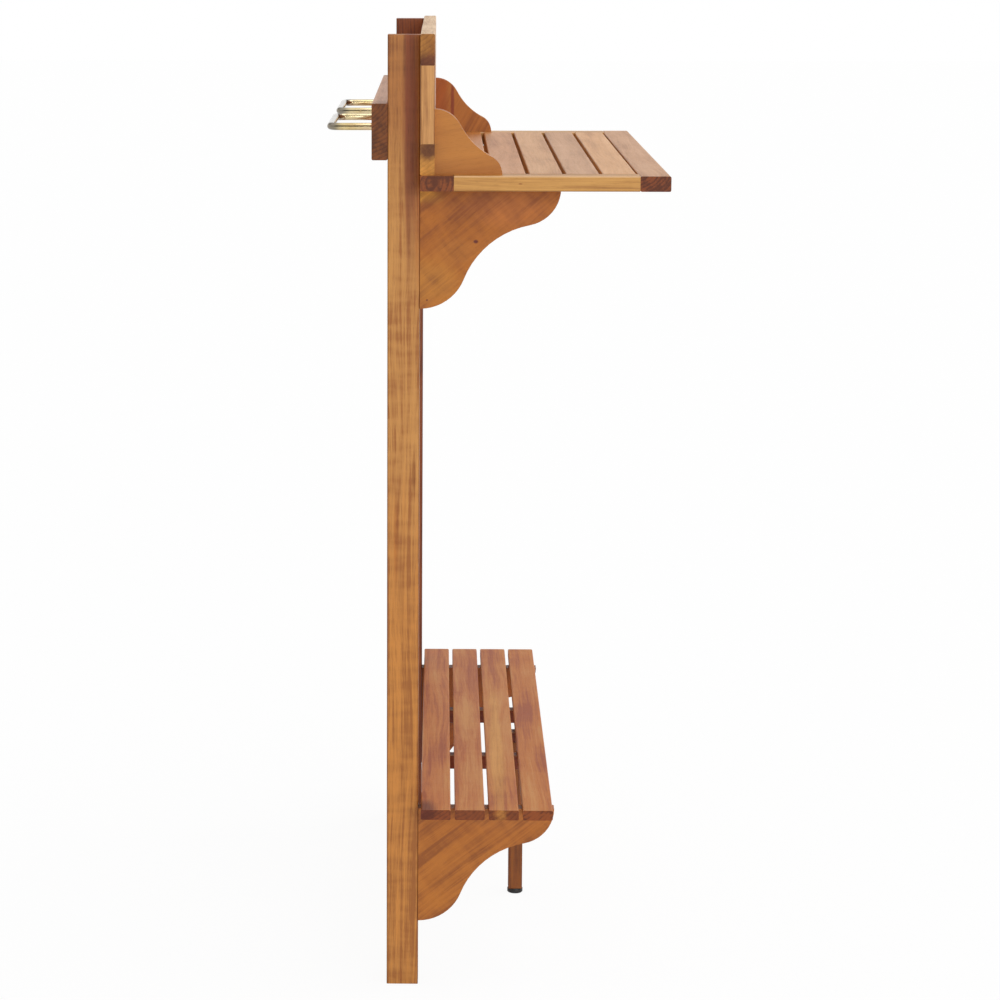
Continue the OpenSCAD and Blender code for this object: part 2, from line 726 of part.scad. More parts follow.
angles(shelf_under, lower_angle_v);  // angles_lower
angle_screws();

module cheek_screws() {
    color("silver") {
        driven_forward(cheek_back_spots) screw(cheek_back_screw_l);
        driven_up(cheek_base_spots) screw(cheek_base_screw_l);
    }
}

module shelf_screws() {
    color("silver") {
        driven_up(shelf_spots) screw(shelf_screw_l);
        driven_up(block_spots) screw(block_screw_l);
    }
}
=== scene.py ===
import math
import random

import bmesh
import bpy
from mathutils import Matrix, Vector


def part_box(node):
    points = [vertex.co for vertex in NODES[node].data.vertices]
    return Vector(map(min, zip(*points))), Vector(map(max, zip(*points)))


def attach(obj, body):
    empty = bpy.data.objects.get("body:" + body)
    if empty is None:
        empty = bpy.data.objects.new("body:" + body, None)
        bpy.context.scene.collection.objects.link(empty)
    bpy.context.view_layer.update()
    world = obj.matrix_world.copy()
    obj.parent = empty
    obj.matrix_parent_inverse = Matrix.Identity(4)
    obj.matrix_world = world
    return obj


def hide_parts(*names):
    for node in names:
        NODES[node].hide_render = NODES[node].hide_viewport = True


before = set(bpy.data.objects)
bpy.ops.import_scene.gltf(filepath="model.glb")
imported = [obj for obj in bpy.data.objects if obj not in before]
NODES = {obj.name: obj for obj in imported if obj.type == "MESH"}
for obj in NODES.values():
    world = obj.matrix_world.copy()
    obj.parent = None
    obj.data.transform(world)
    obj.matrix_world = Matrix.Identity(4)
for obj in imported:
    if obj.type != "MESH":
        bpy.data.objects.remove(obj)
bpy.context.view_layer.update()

# The camera stands at the table's left end, a little above the tabletop. Angles are in radians.
CAMERA_PLACE = Vector((-4.2199, 0.0698, 1.3536))
CAMERA_YAW = -0.0233
CAMERA_DROP = 0.1829
CAMERA_LENS = 109.65
CAMERA_SHIFT = 0.1312
CAMERA_REACH = 40.0
SENSOR = 36.0

# Sizes of the clamp's rods that their boxes don't tell
ROD_BEND = 0.013
ROD_PITCH = 0.0015
ROD_THREAD = 0.039
ROD_THREAD_DEPTH = 0.0008

# Thread of the foot
STEM_PITCH = 0.00125
STEM_THREAD_DEPTH = 0.0007

# Taper at a threaded end, and how much thinner it makes the rod for each metre
END_CHAMFER = 0.0012
CHAMFER_SLOPE = 0.8

# Flanks of a thread, and the flat on its crest
THREAD_FLANK = 2.6
THREAD_CREST = 0.2

# Points around a swept piece, rings per turn of its thread, and rings in a bend
AROUND = 36
RINGS_PER_TURN = 6
BEND_STEPS = 12

# Corners sharper than this stay sharp, and corners closer than this are one
SHARP_ANGLE = math.radians(40)
SAME_PLACE = 1e-6

# Widths of the broken edges, and the facets across each
POST_EDGE = 0.0006
BOARD_EDGE = 0.0009
WING_EDGE = 0.0006
WASHER_EDGE = 0.0003
EDGE_FACETS = 2

# Cross recess of a screw, as shares of its head's radius
RECESS_REACH = 0.62
RECESS_HALF_WIDTH = 0.15
RECESS_DEPTH = 0.5
RECESS_TAPER = 0.6
HEAD_RINGS = (0.10, 0.20, 0.30, 0.40, 0.50, 0.60, 0.66, 0.85, 0.97)

# Share of a screw's radius beyond which a point is on the rim of its head, and the radius of its point
HEAD_RIM = 0.98
POINT_RADIUS = 1e-5

UP = Vector((0, 0, 1))


def srgb(red, green, blue):
    """Linear colour of a colour given in 0 to 255 steps, as a picture shows it."""
    linear = []
    for part in (red, green, blue):
        share = part / 255
        linear.append(share / 12.92 if share <= 0.04045 else ((share + 0.055) / 1.055) ** 2.4)
    return (*linear, 1.0)


def make_camera():
    data = bpy.data.cameras.new("camera")
    data.lens = CAMERA_LENS
    data.sensor_width = SENSOR
    data.shift_x = CAMERA_SHIFT
    data.clip_end = CAMERA_REACH
    camera = bpy.data.objects.new("camera", data)
    bpy.context.collection.objects.link(camera)
    yaw, drop = CAMERA_YAW, CAMERA_DROP
    forward = Vector((math.cos(yaw) * math.cos(drop), -math.sin(yaw) * math.cos(drop), -math.sin(drop)))
    right = Vector((-math.sin(yaw), -math.cos(yaw), 0.0))
    up = right.cross(forward)
    turn = Matrix((right, up, -forward)).transposed().to_4x4()
    camera.matrix_world = Matrix.Translation(CAMERA_PLACE) @ turn
    bpy.context.scene.camera = camera


class Tree:
    """Short calls for building one node tree."""

    def __init__(self, tree):
        self.tree = tree

    def add(self, kind, **values):
        node = self.tree.nodes.new(kind)
        for name, value in values.items():
            setattr(node, name, value)
        return node

    def join(self, output, socket):
        self.tree.links.new(output, socket)

    def feed(self, socket, value):
        """Links an output to the socket, or sets the socket to a plain value."""
        if isinstance(value, bpy.types.NodeSocket):
            self.join(value, socket)
        else:
            socket.default_value = value

    def math(self, operation, first, second=0.0, clamp=False):
        node = self.add("ShaderNodeMath", operation=operation, use_clamp=clamp)
        self.feed(node.inputs[0], first)
        self.feed(node.inputs[1], second)
        return node.outputs[0]

    def vector(self, operation, first, second=(0.0, 0.0, 0.0)):
        node = self.add("ShaderNodeVectorMath", operation=operation)
        self.feed(node.inputs[0], first)
        self.feed(node.inputs[1], second)
        return node.outputs["Value" if operation in ("LENGTH", "DOT_PRODUCT") else "Vector"]

    def noise(self, place, scale, detail=2.0, roughness=0.5, colour=False):
        """Noise stretched by a scale per axis, in cycles per metre."""
        node = self.add("ShaderNodeTexNoise")
        self.feed(node.inputs["Vector"], self.vector("MULTIPLY", place, scale))
        node.inputs["Scale"].default_value = 1.0
        node.inputs["Detail"].default_value = detail
        node.inputs["Roughness"].default_value = roughness
        return node.outputs["Color" if colour else "Fac"]

    def ramp(self, value, stops):
        """Colour ramp through (place, colour) stops."""
        node = self.add("ShaderNodeValToRGB")
        marks = node.color_ramp.elements
        while len(marks) < len(stops):
            marks.new(0.5)
        for mark, (place, colour) in zip(marks, stops):
            mark.position = place
            mark.color = colour
        self.join(value, node.inputs[0])
        return node.outputs[0]

    def swing(self, value, middle, share):
        """How far a value is from its middle, times a share."""
        return self.math("MULTIPLY", self.math("SUBTRACT", value, middle), share)

    def mix(self, share, first, second, blend="MIX"):
        node = self.add("ShaderNodeMix", data_type="RGBA", blend_type=blend)
        self.feed(node.inputs["Factor"], share)
        self.feed(node.inputs["A"], first)
        self.feed(node.inputs["B"], second)
        return node.outputs["Result"]

    def stretch(self, value, low, high, to_low=0.0, to_high=1.0):
        node = self.add("ShaderNodeMapRange", clamp=True, interpolation_type="SMOOTHSTEP")
        self.feed(node.inputs["Value"], value)
        node.inputs["From Min"].default_value = low
        node.inputs["From Max"].default_value = high
        node.inputs["To Min"].default_value = to_low
        node.inputs["To Max"].default_value = to_high
        return node.outputs["Result"]


def new_material(name):
    material = bpy.data.materials.new(name)
    material.use_nodes = True
    tree = Tree(material.node_tree)
    shader = material.node_tree.nodes["Principled BSDF"]
    return material, tree, shader


# Directions of the grain
ALONG_X = (1.0, 0.0, 0.0)
ALONG_Y = (0.0, 1.0, 0.0)
ALONG_Z = (0.0, 0.0, 1.0)

# Light that every wooden face throws back like a mirror, which the colours below already hold, and the
# least that a colour keeps without it
VEIL = 0.030
DARKEST = 0.004


def tone(red, green, blue):
    """Colour of the wood itself, for the colour that a face at the table's left end shows."""
    return (*(max(part - VEIL, DARKEST) for part in srgb(red, green, blue)[:3]), 1.0)


def scaled(colour, red, green, blue):
    """Colour with each of its parts multiplied."""
    return (colour[0] * red, colour[1] * green, colour[2] * blue, 1.0)


# The painted light on a broken edge fades in and out between these sideways parts of its normal, and turns
# from painted shade to a painted highlight between these upward parts.
EDGE_FROM = (0.12, 0.25)
EDGE_TO = (0.93, 0.97)
EDGE_UP = (0.15, 0.35)
SHADED_EDGE_TINT = (0.66, 0.59, 0.54, 1.0)
HIGHLIT_EDGE_TINT = srgb(236, 208, 176)
HIGHLIT_EDGE_SHARE = 0.35


def edge_highlight_and_shade(tree, normal, colour):
    """Broken edges that face up get a painted pale highlight, and the others a painted dark shade."""
    parts = tree.add("ShaderNodeSeparateXYZ")
    tree.join(normal, parts.inputs[0])
    sides = tree.math("ABSOLUTE", parts.outputs["X"])
    slope = tree.math("MULTIPLY", tree.stretch(sides, *EDGE_FROM), tree.stretch(sides, *EDGE_TO, 1.0, 0.0))
    upward = tree.stretch(parts.outputs["Z"], *EDGE_UP)
    # Painted shade darkens edges that don't face up, and a painted highlight makes those that face up paler.
    darker = tree.mix(1.0, colour, SHADED_EDGE_TINT, "MULTIPLY")
    paler = tree.mix(HIGHLIT_EDGE_SHARE, colour, HIGHLIT_EDGE_TINT)
    return tree.mix(slope, colour, tree.mix(upward, darker, paler))


# Noise of the grain: scale along and across it in cycles per metre, then detail and roughness
WANDER_NOISE = ((2.2, 9, 9), 2.0, 0.5)
WOBBLE_NOISE = ((4, 60, 60), 2.0, 0.5)
BAND_NOISE = ((1.8, 46, 46), 2.0, 0.5)
STREAK_NOISE = ((5, 190, 190), 3.0, 0.55)
LINE_NOISE = ((11, 480, 480), 2.0, 0.6)
CLOUD_NOISE = ((7, 16, 16), 2.0, 0.5)
RIPPLE_NOISE = ((75, 22, 22), 2.0, 0.5)
FIBRE_NOISE = ((40, 1300, 1300), 2.0, 0.6)
PORE_NOISE = ((90, 1900, 1900), 1.0, 0.5)

# How far the bands wander across a board, how flat the rings run along it, and how uneven they are
WANDER = 0.030
RING_STRETCH = (0.004, 1.0, 1.0)
RING_WOBBLE = 0.9

# Darkness across one ring, from its pale early wood to its dark late wood
RING_STOPS = ((0.0, 0.45), (0.15, 0.2), (0.65, 0.45), (0.92, 0.85), (1.0, 0.45))

# Share of each figure in the depth of the colour, on a board's faces
BAND_SHARE = 1.9
STREAK_SHARE = 1.5
LINE_SHARE = 1.25
CLOUD_SHARE = 1.3
RING_SHARE = 0.3
FIBRE_SHARE = 0.3

# The same on its ends, where the rings' mean is a little under a half
END_RING_MEAN = 0.48
END_RING_SHARE = 0.9
END_BAND_SHARE = 2.0
END_STREAK_SHARE = 1.1
END_LINE_SHARE = 0.6
END_FROM = (0.80, 0.95)

# Paler and darker shades of a board's face, of its end and of a mark, as factors of the base colour
FACE_PALER = (1.16, 1.22, 1.3)
FACE_DARKER = (0.70, 0.62, 0.56)
END_PALER = (1.35, 1.35, 1.3)
END_DARKER = (0.62, 0.56, 0.55)
MARK_PALER = (1.22, 1.24, 1.26)
MARK_DARKER = (0.72, 0.64, 0.58)

# Where a mark's rim begins and ends, as shares of its size, and how much the streaks fray it
MARK_RIM = (0.75, 1.5)
MARK_FRAY = 0.7

# Pores: how high the noise has to be, their tint and their strength
PORE_FROM = (0.60, 0.72)
PORE_TINT = (0.55, 0.47, 0.42, 1.0)
PORE_SHARE = 0.35

# How each figure roughens the oiled skin, and raises it
DEPTH_ROUGH = 0.06
FIBRE_ROUGH = 0.14
MEAN_ROUGH = 0.10
END_ROUGH = 0.18
FIBRE_RELIEF = 0.6
PORE_RELIEF = 0.7
RING_RELIEF = 0.3
WOOD_BUMP = (0.3, 0.0003)
WOOD_IOR = 1.45


def add_bump(tree, shader, height, strength, distance):
    """Raises the surface by a height from 0 to 1, times a distance in metres."""
    bump = tree.add("ShaderNodeBump")
    bump.inputs["Strength"].default_value = strength
    bump.inputs["Distance"].default_value = distance
    tree.join(height, bump.inputs["Height"])
    tree.join(bump.outputs["Normal"], shader.inputs["Normal"])


def grain_place(tree, coordinates, node, grain, pith, draw):
    """Place in the log: x along the grain, and y and z from the pith."""
    low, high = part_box(node)
    along = Vector(grain).normalized()
    turn = along.rotation_difference(Vector(ALONG_X)).to_matrix()
    across = Vector(pith) - along * along.dot(Vector(pith))
    mapping = tree.add("ShaderNodeMapping")
    mapping.inputs["Rotation"].default_value = turn.to_euler("XYZ")
    shift = Vector((draw.uniform(-9, 9), 0.0, 0.0)) - turn @ ((low + high) / 2 + across)
    mapping.inputs["Location"].default_value = shift
    tree.join(coordinates.outputs["Object"], mapping.inputs["Vector"])
    return mapping.outputs["Vector"]


def blend_figures(tree, figures, contrast):
    """Sum of the swings of each (figure, middle, share), with a contrast around a half."""
    depth = 0.0
    for figure, middle, share in figures:
        depth = tree.math("ADD", depth, tree.swing(figure, middle, share))
    return tree.math("ADD", tree.math("MULTIPLY", depth, contrast), 0.5, clamp=True)


def wood(name, node, grain, mid, pale=None, deep=None, pith=(0.03, 0.04, 0.05), ring=0.005, contrast=1.0,
         end=None, end_contrast=1.0, gloss=0.40, curl=0.25, broad=1.0, fine=1.0, seed=1, marks=()):
    """Solid oiled wood, made from rings around a pith beside the board, bands, streaks, pores and end grain.

    mid, pale and deep are the base colour, the colour of its light streaks and that of its dark bands.
    pith is a place from the board's middle, and ring the width of a ring.
    end is the colour of the end grain. curl is the strength of the ripples across the grain, broad that
    of the wide bands and fine that of the narrow streaks.
    marks are (middle, size, colour, share) of clouds and knots, and of painted shadows and painted light."""
    material, tree, shader = new_material(name)
    pale = pale or scaled(mid, *FACE_PALER)
    deep = deep or scaled(mid, *FACE_DARKER)
    coordinates = tree.add("ShaderNodeTexCoord")
    place = grain_place(tree, coordinates, node, grain, pith, random.Random(seed))

    # The grain wanders, so the bands aren't straight along the board.
    wander = tree.vector("SUBTRACT", tree.noise(place, *WANDER_NOISE, colour=True), (0.5, 0.5, 0.5))
    bent = tree.vector("ADD", place, tree.vector("MULTIPLY", wander, (0.0, WANDER, WANDER)))
    radius = tree.vector("LENGTH", tree.vector("MULTIPLY", bent, RING_STRETCH))
    wobble = tree.math("MULTIPLY", tree.noise(bent, *WOBBLE_NOISE), RING_WOBBLE)
    phase = tree.math("FRACT", tree.math("ADD", tree.math("DIVIDE", radius, ring), wobble))
    rings = tree.ramp(phase, [(where, (level, level, level, 1.0)) for where, level in RING_STOPS])

    bands = tree.noise(bent, *BAND_NOISE)
    streaks = tree.noise(bent, *STREAK_NOISE)
    lines = tree.noise(bent, *LINE_NOISE)
    cloud = tree.noise(place, *CLOUD_NOISE)
    ripple = tree.noise(place, *RIPPLE_NOISE)
    fibres = tree.noise(bent, *FIBRE_NOISE)
    figures = [(bands, 0.5, BAND_SHARE * broad), (streaks, 0.5, STREAK_SHARE * fine)]
    figures += [(lines, 0.5, LINE_SHARE * fine), (cloud, 0.5, CLOUD_SHARE), (rings, 0.5, RING_SHARE * fine)]
    figures += [(fibres, 0.5, FIBRE_SHARE), (ripple, 0.5, curl)]
    depth = blend_figures(tree, figures, contrast)
    colour = tree.ramp(depth, [(0.0, pale), (0.5, mid), (1.0, deep)])

    facing = tree.math("ABSOLUTE", tree.vector("DOT_PRODUCT", coordinates.outputs["Normal"], grain))
    ends = tree.stretch(facing, *END_FROM)
    if end:
        figures = [(rings, END_RING_MEAN, END_RING_SHARE), (bands, 0.5, END_BAND_SHARE)]
        figures += [(streaks, 0.5, END_STREAK_SHARE), (lines, 0.5, END_LINE_SHARE)]
        end_depth = blend_figures(tree, figures, end_contrast)
        stops = [(0.0, scaled(end, *END_PALER)), (0.5, end), (1.0, scaled(end, *END_DARKER))]
        colour = tree.mix(ends, colour, tree.ramp(end_depth, stops))

    for centre, size, tint, share in marks:
        offset = tree.vector("DIVIDE", tree.vector("SUBTRACT", coordinates.outputs["Object"], centre), size)
        reach = tree.math("ADD", tree.vector("LENGTH", offset), tree.math("MULTIPLY", streaks, MARK_FRAY))
        inside = tree.stretch(reach, *MARK_RIM, share, 0.0)
        stops = [(0.0, scaled(tint, *MARK_PALER)), (0.5, tint), (1.0, scaled(tint, *MARK_DARKER))]
        colour = tree.mix(inside, colour, tree.ramp(depth, stops))

    # Pores are short dark dashes along the grain.
    pores = tree.stretch(tree.noise(bent, *PORE_NOISE), *PORE_FROM)
    dashes = tree.mix(1.0, colour, PORE_TINT, "MULTIPLY")
    colour = tree.mix(tree.math("MULTIPLY", pores, PORE_SHARE), colour, dashes)
    # Broken edges get painted light: a highlight where they face up, shade elsewhere.
    colour = edge_highlight_and_shade(tree, coordinates.outputs["Normal"], colour)
    tree.join(colour, shader.inputs["Base Color"])

    rough = tree.math("MULTIPLY", depth, DEPTH_ROUGH)
    rough = tree.math("ADD", rough, tree.math("MULTIPLY", fibres, FIBRE_ROUGH))
    rough = tree.math("ADD", rough, gloss - MEAN_ROUGH)
    rough = tree.math("ADD", rough, tree.math("MULTIPLY", ends, END_ROUGH))
    tree.join(rough, shader.inputs["Roughness"])
    shader.inputs["IOR"].default_value = WOOD_IOR

    relief = tree.math("MULTIPLY", fibres, FIBRE_RELIEF)
    relief = tree.math("SUBTRACT", relief, tree.math("MULTIPLY", pores, PORE_RELIEF))
    relief = tree.math("ADD", relief, tree.math("MULTIPLY", rings, RING_RELIEF))
    add_bump(tree, shader, relief, *WOOD_BUMP)
    return material


# Colours of the clamp's plating. The closed ends of the rods are a silver grey, darkened as a painted dark
# reflection.
GOLD = srgb(222, 199, 138)
PALE_GOLD = srgb(230, 213, 172)
PINK_GOLD = srgb(214, 168, 140)
SCUFFED_GOLD = srgb(168, 140, 84)
GREY_AND_DARK_REFLECTION = srgb(112, 112, 112)

# How far before the rods' closed ends the grey of painted dark reflection begins, and where it is full
END_GREY_FROM = 0.022
END_GREY_FULL = 0.008

# Noises of the plating: scale in cycles per metre and detail
TINT_NOISE = ((22, 22, 22), 3.0)
BLUSH_NOISE = ((41, 33, 47), 2.0)
SCUFF_NOISE = ((240, 240, 240), 3.0)
PLATING_NOISE = ((500, 500, 500), 3.0)

# Levels of the noise between which the pale tint, the pink blush and the scuffs fade in
TINT_LEVELS = (0.35, 0.68)
BLUSH_LEVELS = (0.48, 0.72)
SCUFF_LEVELS = (0.5, 0.8)

# Strength of each in the colour, and the roughness of the plating and of a scuff
BLUSH_SHARE = 0.5
SCUFF_SHARE = 0.35
END_GREY_SHARE = 0.80
GOLD_ROUGH = 0.10
SCUFF_ROUGH = 0.14

# Strength and height of the plating's unevenness
PLATING_BUMP = (0.15, 0.0001)


def gold_zinc():
    """Yellow-passivated zinc: a glossy gold skin with pale and pink tints and scuffs."""
    material, tree, shader = new_material("gold_zinc")
    place = tree.add("ShaderNodeTexCoord").outputs["Object"]
    tint = tree.stretch(tree.noise(place, *TINT_NOISE), *TINT_LEVELS)
    blush = tree.stretch(tree.noise(place, *BLUSH_NOISE), *BLUSH_LEVELS)
    scuffs = tree.stretch(tree.noise(place, *SCUFF_NOISE), *SCUFF_LEVELS)
    parts = tree.add("ShaderNodeSeparateXYZ")
    tree.join(place, parts.inputs[0])
    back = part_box("u_bolt_left")[1].y
    end_grey = tree.stretch(parts.outputs["Y"], back - END_GREY_FROM, back - END_GREY_FULL)
    colour = tree.mix(tint, GOLD, PALE_GOLD)
    colour = tree.mix(tree.math("MULTIPLY", blush, BLUSH_SHARE), colour, PINK_GOLD)
    colour = tree.mix(tree.math("MULTIPLY", scuffs, SCUFF_SHARE), colour, SCUFFED_GOLD)
    # The rods' closed ends turn grey: a painted dark reflection.
    colour = tree.mix(tree.math("MULTIPLY", end_grey, END_GREY_SHARE), colour, GREY_AND_DARK_REFLECTION)
    tree.join(colour, shader.inputs["Base Color"])
    shader.inputs["Metallic"].default_value = 1.0
    rough = tree.math("ADD", tree.math("MULTIPLY", scuffs, SCUFF_ROUGH), GOLD_ROUGH)
    tree.join(rough, shader.inputs["Roughness"])
    add_bump(tree, shader, tree.noise(place, *PLATING_NOISE), *PLATING_BUMP)
    return material


# Steel and black plastic: the two colours of each, its noises, two levels of a noise with the roughness at
# each, and the strength and height of its unevenness
STEEL_DARK = srgb(176, 178, 182)
STEEL_PALE = srgb(206, 206, 204)
MOTTLE_NOISE = ((180, 180, 180), 3.0)
STEEL_NOISE = ((700, 700, 700), 2.0)
STEEL_ROUGH = (0.3, 0.7, 0.28, 0.46)
STEEL_BUMP = (0.2, 0.0002)
PLASTIC_DARK = srgb(24, 24, 25)
PLASTIC_PALE = srgb(40, 40, 41)
PLASTIC_NOISE = ((1500, 1500, 1500), 2.0)
PLASTIC_ROUGH = (0.3, 0.7, 0.32, 0.5)
PLASTIC_BUMP = (0.3, 0.0002)


def bright_steel():
    """Zinc-plated steel with a faint mottle."""
    material, tree, shader = new_material("steel")
    place = tree.add("ShaderNodeTexCoord").outputs["Object"]
    mottle = tree.noise(place, *MOTTLE_NOISE)
    tree.join(tree.mix(mottle, STEEL_DARK, STEEL_PALE), shader.inputs["Base Color"])
    shader.inputs["Metallic"].default_value = 1.0
    tree.join(tree.stretch(mottle, *STEEL_ROUGH), shader.inputs["Roughness"])
    add_bump(tree, shader, tree.noise(place, *STEEL_NOISE), *STEEL_BUMP)
    return material


def black_plastic():
    """Moulded black plastic with a fine spark-eroded grain."""
    material, tree, shader = new_material("black_plastic")
    place = tree.add("ShaderNodeTexCoord").outputs["Object"]
    grain = tree.noise(place, *PLASTIC_NOISE)
    tree.join(tree.mix(grain, PLASTIC_DARK, PLASTIC_PALE), shader.inputs["Base Color"])
    tree.join(tree.stretch(grain, *PLASTIC_ROUGH), shader.inputs["Roughness"])
    add_bump(tree, shader, grain, *PLASTIC_BUMP)
    return material


def dress(node, material, edge=0.0):
    """Gives a CAD node its material and, where edge is more than 0, softly broken edges of that width."""
    piece = NODES[node]
    piece.data.materials.clear()
    piece.data.materials.append(material)
    if edge > 0:
        bevel = piece.modifiers.new("broken_edges", "BEVEL")
        bevel.width = edge
        bevel.segments = EDGE_FACETS
        bevel.limit_method = "ANGLE"
        bevel.angle_limit = SHARP_ANGLE


# Colours of the wood, as the photograph shows them at the table's left end
ORANGE = tone(187, 132, 77)
HONEY = tone(197, 144, 92)
YELLOW = tone(196, 146, 88)
AMBER = tone(185, 122, 64)
RUSSET = tone(167, 102, 54)
SIENNA = tone(176, 114, 66)
CHESTNUT = tone(131, 79, 45)
DARK_BAND = tone(128, 70, 38)
GOLDEN = tone(198, 138, 62)
HEART_END = tone(119, 71, 40)
RAIL_END = tone(124, 74, 42)
BOARD_END = tone(128, 75, 45)
BOARD_PALE = tone(199, 137, 78)
BOARD_DEEP = tone(162, 92, 63)

LEFT_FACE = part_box("post_left")[0].x
FAR_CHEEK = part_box("cheek_right")[0].x
POST_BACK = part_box("post_left")[1].y

# How far a mark reaches into the wood from its face
MARK_REACH = 0.3


def mark(behind, height, wide, tall, tint, share, face=LEFT_FACE):
    """Mark on a face that looks left, by its distance in front of the posts' back and its height."""
    return ((face, POST_BACK - behind, height), (MARK_REACH, wide, tall), tint, share)


# What the four shelf boards share
SHELF = dict(grain=ALONG_X, pale=BOARD_PALE, deep=BOARD_DEEP, gloss=0.50, fine=0.7)

